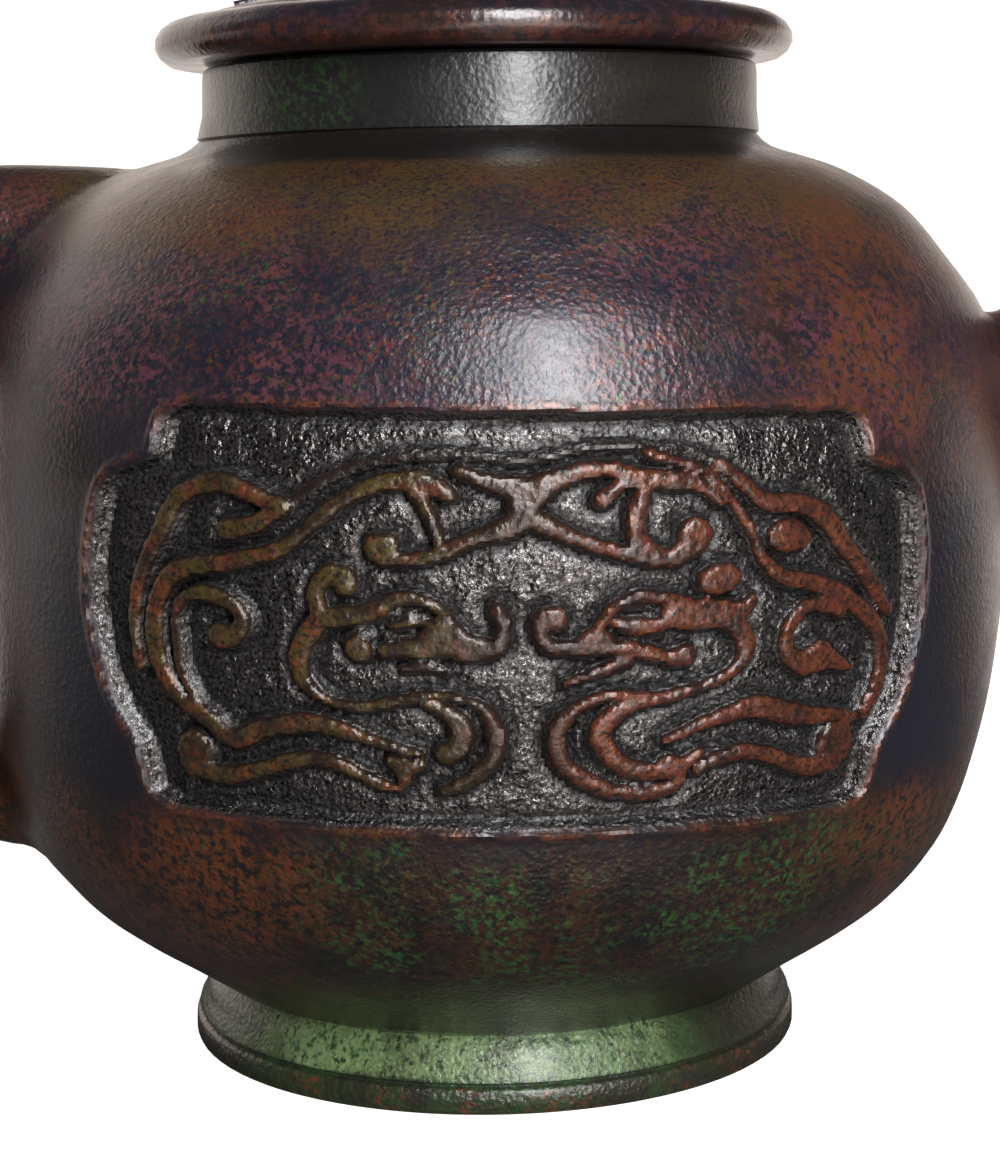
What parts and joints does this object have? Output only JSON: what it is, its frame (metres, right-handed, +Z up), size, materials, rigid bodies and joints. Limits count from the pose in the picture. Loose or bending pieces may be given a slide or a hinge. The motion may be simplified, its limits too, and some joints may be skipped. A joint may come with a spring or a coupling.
{
  "type": "bronze ewer",
  "caption": "Round-bellied cast bronze ewer with a loose lid, a loop handle, a rising spout, a foot ring and sunken side panels with dragons in raised bands",
  "frame": {"origin": "on the vessel's axis at the underside of the foot ring", "axes": "+X towards the spout, -Y towards the dragon panel, +Z up"},
  "size_m": [0.2038, 0.1216, 0.139],
  "materials": {
    "patinated_bronze": "dark brown and blue-black cast bronze with red, ochre and green patina",
    "lid_bronze": "dark brown cast bronze, worn smooth and lighter on its lip"
  },
  "bodies": {
    "root": {"ewer_body": "patinated_bronze", "lid": "lid_bronze"}
  },
  "joints": []
}
